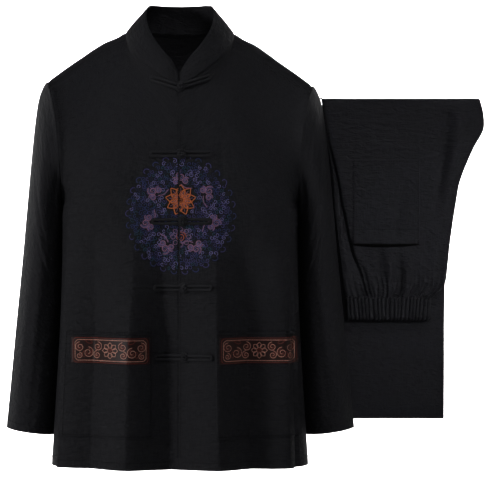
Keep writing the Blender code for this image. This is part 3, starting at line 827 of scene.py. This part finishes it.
def silk(name, colour):
    """Rayon embroidery thread in satin stitch: fine strands of about 1 mm, with a low sheen."""
    material, tree, shader = new_material(name, 0.5, 0.12)
    place = add(tree, "ShaderNodeTexCoord").outputs["Object"]
    strands = add(tree, "ShaderNodeTexNoise", {"Vector": place, "Scale": 900.0, "Detail": 2.0})
    shade = add(tree, "ShaderNodeMapRange", {0: strands.outputs[0], 1: 0.35, 2: 0.65, 3: 0.33, 4: 0.95})
    tint = add(tree, "ShaderNodeHueSaturation", {"Color": linear(colour), "Value": shade.outputs[0]})
    tree.links.new(tint.outputs[0], shader.inputs["Base Color"])
    twisted = {"Height": strands.outputs[0], "Distance": 0.0006, "Strength": 0.5}
    raised = add(tree, "ShaderNodeBump", twisted)
    tree.links.new(raised.outputs[0], shader.inputs["Normal"])
    return material


# Matte black thread for the stitches. The same near-black material also colours the hip pocket's
# turned-under mouth rows as painted shadow inside the mouth.
THREAD_AND_PAINTED_SHADOW = crinkled_linen("black_sewing_thread_and_painted_shadow", "040404", "020202", 0.2)


def build_fronts():
    """Both fronts with their patch pockets, and the lines along which they are stitched."""
    made, lines = {}, []
    up_cells, across_cells = FRONT_FINER
    for name, side, table in (("right", -1, RIGHT_COLUMNS), ("left", 1, LEFT_COLUMNS)):
        plain = hung(relaxed(panel_rows(steps(0.0, table), side, False), FRONT_EASING))
        grid = finer(plain, *FRONT_FINER)
        square = normals(grid) * side
        place = row_places(grid)
        share = place / place[:, -1:]
        push = flute_depth(FRONT_FLUTES, side * place, grid[..., 2]) * (1 - share ** 8)
        grid = grid + square * push[..., None]
        square = normals(grid) * side
        grid = pressed(grid, square, grid[..., [0, 2]], FRONT_CREASES)
        square = normals(grid) * side
        neck_side = (table[1][1] + table[2][1]) * across_cells
        for row, deep in SHOULDER_GROOVE:
            grid[row, neck_side:] -= square[row, neck_side:] * deep
        sewn = pulled_in(grid, ("first_column", "last_column", "last_row"))
        sewn = seamed(sewn, square, ("last_row", "last_column"))
        if side < 0:
            edge, inner = sewn[:, :1], sewn[:, 1:2]
            way = (edge - inner) / np.linalg.norm(edge - inner, axis=-1, keepdims=True)
            under = edge + way * UNDERLAP - square[:, :1] * 2.2
            sewn = np.concatenate([under, edge - square[:, :1], sewn[:, 1:]], 1)
        front = cloth_piece("jacket_front_" + name, sewn, JACKET_CLOTH, flip=side < 0)
        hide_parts("front_" + name)
        made[name] = front

        first = table[1][1] * across_cells
        last = first + (table[2][1] + table[3][1]) * across_cells
        low, high = (row * up_cells for row in POCKET_ROWS)
        up = square[low:high + 1, first:last + 1]
        patch = grid[low:high + 1, first:last + 1] + up * LYING
        mouth = smooth((np.arange(len(patch)) - len(patch) + 9) / 8)[:, None]
        mouth = mouth * np.sin(math.pi * np.linspace(0, 1, patch.shape[1]))[None]
        patch = patch + up * (mouth * 1.6)[..., None]
        pocket_name = "jacket_pocket_" + name
        pocket = cloth_piece(
            pocket_name, patch, JACKET_CLOTH, flip=side < 0, wall=THIN_CLOTH, outwards=True
        )
        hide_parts("pocket_" + name)
        made["pocket_" + name] = pocket

        top = patch + up * (CLOTH + 0.1)
        lines += lines_on(top, up, np.s_[1, 1:-1], np.s_[1:, 1], np.s_[1:, -2], np.s_[-2, 1:-1])
        shoulder, hem, front_edge = np.s_[-4, neck_side + 2:-2], np.s_[4, 2:-2], np.s_[6:-20, 1]
        lines += lines_on(grid, square, shoulder, hem, front_edge)
    return made, lines


def build_back():
    """The one back panel, and its stitch lines at the hem and shoulders."""
    shares = steps(0.0, BACK_COLUMNS)
    left, right = panel_rows(shares, 1, True), panel_rows(shares, -1, True)
    whole = [there[:0:-1] + here for here, there in zip(left, right)]
    grid = finer(hung(relaxed(whole, BACK_EASING)), *BACK_FINER)
    square = -normals(grid)
    middle = grid.shape[1] // 2
    lengths = row_places(grid)
    place = lengths - lengths[:, middle:middle + 1]
    share = np.abs(place) / place[:, -1:]
    grid = grid + square * (flute_depth(BACK_FLUTES, place, grid[..., 2]) * (1 - share ** 8))[..., None]
    square = -normals(grid)
    neck = BACK_COLUMNS[1][1] * BACK_FINER[1]
    shoulders = np.s_[-4, 2:middle - neck - 2], np.s_[-4, middle + neck + 3:-2]
    lines = lines_on(grid, square, np.s_[4, 2:-2], *shoulders)
    grid = pulled_in(grid, ("first_column", "last_column", "last_row"))
    grid = seamed(grid, square, ("last_row", "first_column", "last_column"))
    back = cloth_piece("jacket_back", grid, JACKET_CLOTH, flip=True)
    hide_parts("back")
    return lines


def sleeve_place(around, down, shift=0.0):
    """A place on the flat sleeve, from the shares of the way round it and down it."""
    return around * SLEEVE_GIRTH * (1 - SLEEVE_TAPER * down), (down + shift) * SLEEVE_LENGTH


def build_sleeves():
    """Both sleeves, each a tube of one piece, and the stitch lines at their cuffs."""
    lines = []
    for name, side in (("right", -1), ("left", 1)):
        grid = finer(hung(sleeve_rows(side)), *SLEEVE_FINER, closed=True)
        square = normals(grid, closed=True) * -side
        down = np.linspace(0, 1, len(grid))[:, None] * np.ones(grid.shape[1])
        around = np.ones(len(grid))[:, None] * np.arange(grid.shape[1]) / grid.shape[1]
        shift = 0.02 if side > 0 else 0.0
        where = np.stack(sleeve_place(around, down, shift), -1)
        table = [SLEEVE_CREASES[0]]
        for turn, along, to_turn, to_along, out, width in SLEEVE_CREASES[1:]:
            ends = (*sleeve_place(turn, along), *sleeve_place(to_turn, to_along))
            table.append((*ends, out, width))
        calm = 1 - smooth((0.05 - down) / 0.05)
        crumpled = pressed(grid, square, where, table)
        grid = mix(grid, crumpled, calm[..., None])
        lines.append([np.concatenate([part[-4], part[-4][:1]]) for part in (grid, square)])
        grid = seamed(pulled_in(grid, ("first_row",)), square, ("first_row",))
        sleeve = cloth_piece("jacket_sleeve_" + name, grid, JACKET_CLOTH, closed=True, flip=side > 0)
        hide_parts("sleeve_" + name)
    return lines


def build_collar():
    """The stand collar, sewn a little into the neck, and the stitch line under its top."""
    grid = finer(hung(collar_rows()), *COLLAR_FINER)
    square = normals(grid)
    sewn = grid.copy()
    sewn[0] += (grid[0] - grid[1]) * 0.35 - square[0] * 0.9
    collar = cloth_piece("jacket_collar", sewn, JACKET_CLOTH)
    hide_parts("collar")
    return collar, lines_on(grid, square, np.s_[-3, 2:-2])


def straight(start, end, up):
    """Evenly placed points of a cord that runs across at one height."""
    return [(mix(start, end, t), up) for t in np.linspace(0, 1, 12)]


def build_frogs(find):
    """Each frog: a loop whose eye goes round a wound ball knot, and the knot's own strip."""
    for name, z, middle, right_end, left_end in FROGS[1:]:
        lift = NECK_FROG_LIFT if name == "neck" else 0.0

        def seated(flat, high=1.9):
            path = []
            for x, up in flat:
                place, square = find(x, z + up + lift * abs(x))
                path.append(place - np.array((0, high / max(abs(square[1]), 0.6) + 0.15, 0)))
            return np.array(path)

        far, near = right_end + 1.2, middle - EYE_RADIUS - 1.5
        turned_back = [(right_end, 0.9 - CORD_APART), (right_end, CORD_APART - 0.9)]
        loop = straight(far, near, CORD_APART)
        for t in np.linspace(2.6, -2.6, 14):
            loop.append((middle + EYE_RADIUS * math.cos(t), EYE_RADIUS * math.sin(t)))
        loop += straight(near, far, -CORD_APART) + turned_back
        far, near = left_end - 1.2, middle + 5
        turned_back = [(left_end, CORD_APART - 0.9), (left_end, 0.9 - CORD_APART)]
        strip = straight(near, far, CORD_APART) + turned_back + straight(far, near, -CORD_APART)
        cords = tubes("frog_" + name + "_loop", [seated(loop)], PIPING, closed=True)
        stud = tubes("frog_" + name + "_stud", [seated(strip)], PIPING)
        centre = seated([(middle, 0)])[0] - np.array((0, 2.6, 0))
        t = np.linspace(0, math.tau, 97)[:-1]
        tilt = 0.95 * np.cos(4 * t)
        ball = np.stack([np.cos(tilt) * np.cos(3 * t), np.sin(tilt) * 0.9, np.cos(tilt) * np.sin(3 * t)], 1)
        turns = [centre + ball * KNOT_RADIUS]
        knot = tubes("frog_" + name + "_knot", turns, PIPING, 1.75, 1.5, closed=True, sides=8)
        for piece, node in ((cords, "_loop"), (stud, "_stud"), (knot, "_knot")):
            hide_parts("frog_" + name + node)


def roundel_strokes():
    """A generic roundel: a lotus in a ring of cloud scrolls, on a ground of small curls."""
    rng = np.random.default_rng(11)
    x0, z0, wide, tall = 3, -307, 85, 92
    strokes = []
    flower = (x0, z0 + 24)
    clouds = []
    for k in range(7):
        turn = math.tau * (k + 0.5) / 7 - math.pi / 2
        clouds.append((x0 + 55 * math.cos(turn), z0 + 58 * math.sin(turn), turn))
    for x in np.arange(-wide, wide + 1, 6.9):
        for row, z in enumerate(np.arange(-tall, tall + 1, 6.0)):
            px, pz = x0 + x + (3.4 if row % 2 else 0) + rng.uniform(-1, 1), z0 + z + rng.uniform(-1, 1)
            if math.hypot((px - x0) / (wide - 3), (pz - z0) / (tall - 3)) > 1:
                continue
            if math.hypot(px - flower[0], pz - flower[1]) < 25:
                continue
            near = min(math.hypot(px - cx, pz - cz) for cx, cz, _ in clouds)
            if near < 10:
                continue
            thread = int(rng.choice([0, 0, 1, 1, 2, 2, 3, 7]))
            start, hand = rng.uniform(0, math.tau), rng.choice([-1, 1])
            curl = spiral(px, pz, rng.uniform(3.2, 4.4), rng.uniform(1.0, 1.5), start, hand)
            strokes.append((curl, 1.0, thread))
    for k in range(30):
        turn = math.tau * k / 30
        rim = spiral(x0 + wide * math.cos(turn), z0 + tall * math.sin(turn), 7.5, 0.55, turn - 1.6, 1)
        strokes.append((rim, 1.3, 1 if k % 2 else 0))
    for cx, cz, turn in clouds:
        for aside, out, size in ((0, 4, 8.5), (0.9, -3, 6.5), (-0.9, -3, 6.5)):
            px = cx + out * math.cos(turn) - 9 * aside * math.sin(turn)
            pz = cz + out * math.sin(turn) + 9 * aside * math.cos(turn)
            hand = -1 if aside > 0 else 1
            strokes.append((spiral(px, pz, size, 1.5, turn + aside, hand), 1.9, 4))
            strokes.append((spiral(px, pz, size - 2, 1.0, turn + aside, hand), 1.0, 2))
        tail = [(cx - 8 * math.cos(turn), cz - 8 * math.sin(turn))]
        tail += [(cx - 16 * math.cos(turn + 0.5), cz - 16 * math.sin(turn + 0.5))]
        tail += [(cx - 24 * math.cos(turn + 0.9), cz - 24 * math.sin(turn + 0.9))]
        strokes.append((spline(np.array(tail), 4), 1.8, 4))
    for ring, (count, length, width, thread) in enumerate(((9, 25, 13, 5), (9, 19, 9, 6), (7, 12, 6, 5))):
        for k in range(count):
            turn = math.tau * (k + 0.5 * ring) / count + math.pi / 2
            strokes.append((petal(*flower, turn, length, width, 4), 1.4, thread))
            way = np.array((math.cos(turn), math.sin(turn)))
            strokes.append(([flower + r * way for r in (5, length * 0.8)], 0.9, 4))
    strokes.append((spiral(*flower, 4.2, 1.8), 1.3, 6))
    strokes.append((spiral(x0, z0 - 36, 9.0, 2.0), 1.6, 6))
    for k in range(8):
        turn = math.tau * k / 8
        strokes.append((petal(x0, z0 - 36, turn, 17, 7, 9), 1.2, 4))
    return strokes


BAND_CURLS = (
    ("aside", "up", "size", "hand"),
    (21, 6, 8.0, 1),
    (22, -7.5, 7.0, -1),
    (37, -4, 9.5, 1),
    (51, 5, 8.5, -1),
    (52, -9, 5.5, 1),
)


def band_strokes(middle, half):
    """A generic pocket band: a rosette between curls and leaves, in a double frame."""
    z0, tall = -528, 20.0
    strokes = []
    for inset, thread in ((0, 1), (3.2, 0)):
        a, b = half - inset, tall - inset
        frame_line = [(-a, -b + 4), (-a, b - 4), (-a + 4, b), (a - 4, b)]
        frame_line += [(a, b - 4), (a, -b + 4), (a - 4, -b), (-a + 4, -b), (-a, -b + 4)]
        strokes.append(([(middle + x, z0 + z) for x, z in frame_line], 1.1, thread))
    for k in range(8):
        turn = math.tau * k / 8
        strokes.append((petal(middle, z0, turn, 13, 8, 4), 1.1, 0))
    strokes.append((spiral(middle, z0, 4.0, 1.6), 1.4, 1))
    for side in (-1, 1):
        for aside, up, size, hand in BAND_CURLS[1:]:
            if aside + size > half:
                continue
            x = middle + side * aside
            strokes.append((spiral(x, z0 + up, size, 1.6, math.pi / 2, hand * side), 1.1, 0))
            strokes.append((spiral(x, z0 + up, size - 2.4, 1.0, math.pi / 2, hand * side), 1.3, 1))
        turn = 0.3 if side > 0 else math.pi - 0.3
        strokes.append((petal(middle + side * 30, z0 + 12, turn, 13, 5), 1.2, 1))
        strokes.append((petal(middle + side * 44, z0 - 12, math.pi / 2, 11, 5), 1.1, 1))
    return strokes


def build_embroidery(fronts):
    """The chest's roundel, in two halves that part at the front edges, and the pocket bands."""
    find = front_finder([fronts["right"], fronts["left"]])
    colours = ("1d2750", "332f5c", "5a5580", "153346", "6b4c63", "a4592c", "83401f", "0e1330")
    names = ("blue", "violet", "lilac", "teal", "mauve", "amber", "rust", "navy")
    silks = [silk("embroidery_thread_" + name, colour) for name, colour in zip(names, colours)]
    embroidery("chest_roundel_embroidery", roundel_strokes(), find, silks, split=0)
    rose, rust = silk("embroidery_thread_rose", "a07264"), silk("embroidery_thread_brick", "551d14")
    ground = silk("embroidery_thread_maroon", "1c0806")
    for side, middle, half in (("right", -112, 63), ("left", 131, 63)):
        find = front_finder([fronts["pocket_" + side]])
        rows = []
        for z in np.linspace(-549.5, -506.5, 26):
            row = []
            for x in np.linspace(middle - half - 2, middle + half + 2, 61):
                found = find(x, z)
                row.append(found[0] + found[1] * 0.25)
            rows.append(row)
        band = cloth_piece("pocket_band_" + side, np.array(rows), ground, wall=0.4, outwards=True)
        find = front_finder([band])
        strokes = band_strokes(middle, half - 1)
        embroidery("pocket_band_embroidery_" + side, strokes, find, [rose, rust], 1.6)


def gathered(grid, seat_rows):
    """The seat with the waistband's gathers running up into it and dying out."""
    share = np.linspace(0, 1, grid.shape[1])
    grid = grid.copy()
    for j in range(seat_rows):
        z = grid[j, :, 2]
        near = smooth((-392 - z) / 50)
        far = smooth((-320 - z) / 110)
        fine = np.cos(math.tau * WAISTBAND_GATHERS * share + 1.3 * np.sin(9 * share))
        broad = np.cos(math.tau * 9 * share + 2 * np.sin(5 * share))
        grid[j, :, 1] += 1.2 * near * fine + 1.1 * far * broad
    return grid


def layers(name, nodes, columns, z_levels, near_y, far_y, folds):
    """Hidden layers of the folded trousers: one length of cloth, turned at each side."""
    rows = []
    step = (far_y - near_y) / (folds - 1)
    for z in z_levels:
        left, right = read(TROUSERS, columns[0], z) + 4, read(TROUSERS, columns[1], z) - 4
        row = []
        for layer in range(folds):
            y = near_y + layer * step
            ends = (left, right) if layer % 2 == 0 else (right, left)
            for t in np.linspace(0, 1, 9):
                row.append((mix(*ends, t), y, z))
            if layer < folds - 1:
                turned = 1 if layer % 2 == 0 else -1
                for turn in (math.pi / 4, math.pi / 2, 3 * math.pi / 4):
                    x = ends[1] + turned * 2.2 * math.sin(turn)
                    row.append((x, y + step * (1 - math.cos(turn)) / 2, z))
        rows.append(row)
    grid = finer(rows, 2, 2)
    piece = cloth_piece(name, grid, TROUSER_CLOTH, wall=1.0)
    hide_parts(*nodes)


def build_trousers():
    """The folded trousers: outer layer, hidden layers, waistband and hip pocket."""
    front_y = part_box("trousers_waistband")[0][1] / MM + GATHERS_PROUD
    leg_y = front_y + SEAT_DEPTH
    up_cells = TROUSERS_FINER[0]
    grid = gathered(finer(trouser_rows(front_y), *TROUSERS_FINER), GATHERED_ROWS * up_cells)
    square = normals(grid)
    grid = pressed(grid, square, grid[..., [0, 2]], SEAT_CREASES, rows=CREASED_ROWS * up_cells)
    outer = cloth_piece("trousers_outer_layer", grid, TROUSER_CLOTH)
    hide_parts("trousers_outer_panel")

    levels = (-440, -400, -350, -300, -250, -210, -180, -150, -124)
    ends = (front_y + 12.8, leg_y - 1.6)
    layers("trousers_seat_folds", ["trousers_seat_layers"], ("left", "right"), levels, *ends, 3)
    levels = (-644, -560, -480, -420, -360, -300, -250, -210, -180, -150, -124)
    ends = (leg_y + 2.6, leg_y + LEG_DEPTH - 2.6)
    layers("trousers_leg_folds", ["trousers_leg_layers"], ("leg_left", "leg_right"), levels, *ends, 3)
    build_waistband(front_y)
    return build_hip_pocket(front_finder([outer]))


def build_waistband(front_y):
    """The gathered waistband: a closed section whose near side folds as it goes across."""
    top, bottom = WAISTBAND_TOP - 1, WAISTBAND_BOTTOM
    far_y = front_y + SEAT_DEPTH - 1.6
    section = ((0, top - 3), (0, top - 9), (0.5, (top + bottom) / 2), (0, bottom + 7), (0.4, bottom + 2))
    rings = []
    count = WAISTBAND_GATHERS * 8
    for k in range(count + 1):
        share = k / count
        x = mix(WAISTBAND_LEFT + 1, WAISTBAND_RIGHT - 1, share)
        uneven = 0.35 * math.sin(7 * share) + 0.12 * math.sin(31 * share)
        wave = math.tau * (WAISTBAND_GATHERS * share + uneven)
        fold = WAISTBAND_FOLD * (1 - abs(math.sin(wave / 2)) ** 0.8)
        rolled = 3.5 * max(0.0, 1 - min(share, 1 - share) / 0.02)
        near_y = front_y - 2.6 + fold + rolled
        dip = 1.6 * math.cos(wave + 1.2)
        lean = 3 * math.sin(5 * share + 0.6)
        ring = [(x, near_y + 2.5, top + dip * 0.7)]
        ring += [(x + lean * (top - z) / (top - bottom), near_y + deep, z) for deep, z in section]
        ring += [(x + lean, near_y + 4, bottom - 0.4 + dip), (x, far_y - 4, bottom), (x, far_y, bottom + 4)]
        ring += [(x, far_y, (top + bottom) / 2), (x, far_y, top - 4), (x, far_y - 4, top)]
        rings.append(ring)
    band_grid = finer(rings, 1, 3, closed=True)
    band_name = "trousers_waistband_gathers"
    band = cloth_piece(band_name, band_grid, TROUSER_CLOTH, closed=True, flip=True, wall=1.0)
    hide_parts("trousers_waistband")


def build_hip_pocket(find):
    """The patch on the seat. Its mouth, which hangs down, gapes, and its turned-under rows are coloured
    near-black as painted shadow inside the mouth.
    """
    low_z, rows = BACK_POCKET["bottom"], []
    for k, z in enumerate([low_z] * MOUTH_ROWS + [*np.linspace(low_z, BACK_POCKET["top"], 49)]):
        row = []
        out = min(k / MOUTH_ROWS, 1)
        for share in np.linspace(0, 1, 41):
            x = mix(BACK_POCKET["left"], BACK_POCKET["right"], share)
            arch = max(math.sin(math.pi * share), 0) ** 0.6
            gape = POCKET_GAPE * arch * smooth((-334 - z) / 20) * out
            low = z - POCKET_GAPE * arch * (1 - out) - 0.3 * max(MOUTH_ROWS - k, 0)
            row.append((x, find(x, low)[0][1] - 0.3 - gape, low))
        rows.append(row)
    patch = np.array(rows)
    pocket = cloth_piece("trousers_hip_pocket", patch, TROUSER_CLOTH, wall=0.9, outwards=True)
    # The turned-under mouth rows take the near-black thread material: painted shadow inside the gaping
    # mouth.
    pocket.data.materials.append(THREAD_AND_PAINTED_SHADOW)
    mouth_cells = MOUTH_ROWS * (patch.shape[1] - 1)
    painted_shadow_slots = [1 if k < mouth_cells else 0 for k in range(len(pocket.data.polygons))]
    pocket.data.polygons.foreach_set("material_index", painted_shadow_slots)
    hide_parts("trousers_back_pocket")
    up = normals(patch)
    top = patch + up * (CLOTH + 0.1)
    return lines_on(top, up, np.s_[:, 1], np.s_[:, -2], np.s_[-2, 1:-1], np.s_[11, 1:-1])


# Lamps in metres, degrees and watts. The narrow ones lift the yoke and the trousers' seat.
LIGHTS = (
    ("name", "place", "aim", "size", "spread", "power"),
    ("key_light", (-4.3, -2.3, 0.0), (0.05, 0, -0.45), 0.9, 180, 190),
    ("front_light", (0.3, -3.9, 1.3), (0.2, 0, -0.3), 1.2, 180, 24),
    ("yoke_light", (0.8, -2.2, 2.4), (0.16, -0.05, -0.06), 0.6, 18, 1.0),
    ("trousers_light", (2.0, -3.5, 0.6), (0.5, 0, -0.34), 0.3, 11, 0.6),
    ("right_light", (3.8, -0.9, -0.1), (0.2, 0, -0.4), 1.0, 180, 8),
    ("back_light", (2.4, 3.4, 1.2), (0.1, 0, -0.4), 1.4, 180, 60),
    ("back_left_light", (-3.2, 2.6, 0.6), (0.1, 0, -0.4), 1.4, 180, 60),
    ("backdrop_top_light", (0.1, 4.7, 2.2), (0.1, 6.1, -0.6), 2.4, 180, 300),
    ("backdrop_right_light", (2.2, 4.7, -0.5), (0.2, 6.1, -0.5), 1.2, 180, 130),
    ("backdrop_left_light", (-2.0, 4.7, -0.5), (0, 6.1, -0.5), 1.2, 180, 130),
)


def set_up_studio():
    """A pale sweep well behind the garment, soft lamps, and the camera at the photo's angle."""
    floor_z, back_y, bend = -1.3, 6.0, 0.6
    profile = [(-1.4, floor_z), (back_y - bend, floor_z)]
    for t in np.linspace(0.1, math.pi / 2, 12):
        profile.append((back_y - bend + bend * math.sin(t), floor_z + bend * (1 - math.cos(t))))
    profile.append((back_y, 5))
    points = [(x, y, z) for y, z in profile for x in (-5, 5)]
    faces = [(2 * i, 2 * i + 1, 2 * i + 3, 2 * i + 2) for i in range(len(profile) - 1)]
    mesh = bpy.data.meshes.new("studio_sweep")
    mesh.from_pydata(points, [], faces)
    paper, _, shader = new_material("white_paper_sweep", 0.9, 0.5)
    shader.inputs["Base Color"].default_value = linear("f4f4f4")
    sweep = in_scene("studio_sweep", mesh, [paper])
    for name, place, aim, size, spread, power in LIGHTS[1:]:
        lamp = bpy.data.lights.new(name, "AREA")
        lamp.energy, lamp.size, lamp.spread = power, size, math.radians(spread)
        light = bpy.data.objects.new(name, lamp)
        light.location = place
        light.rotation_euler = (Vector(aim) - Vector(place)).to_track_quat("-Z", "Y").to_euler()
        bpy.context.scene.collection.objects.link(light)
    world = bpy.data.worlds.new("studio_air")
    world.use_nodes = True
    world.node_tree.nodes["Background"].inputs[0].default_value = linear("ffffff")
    world.node_tree.nodes["Background"].inputs[1].default_value = 0.11
    bpy.context.scene.world = world
    bpy.context.scene.view_settings.view_transform = "Standard"

    camera = bpy.data.objects.new("camera", bpy.data.cameras.new("camera"))
    far, seen_width, sensor = 4.0, 0.8232, 36
    camera.location = (0.060, -far, -0.348)
    camera.rotation_euler = (math.pi / 2, 0, 0)
    camera.data.lens = sensor * far / seen_width
    camera.data.shift_x = 0.0595
    bpy.context.scene.collection.objects.link(camera)
    bpy.context.scene.camera = camera


fronts, thread_lines = build_fronts()
thread_lines += build_back()
thread_lines += build_sleeves()
collar, collar_lines = build_collar()
stitches("jacket_topstitching", thread_lines + collar_lines, THREAD_AND_PAINTED_SHADOW)
stitches("trousers_topstitching", build_trousers(), THREAD_AND_PAINTED_SHADOW)
build_frogs(front_finder([fronts["right"], fronts["left"], collar]))
build_embroidery(fronts)
set_up_studio()
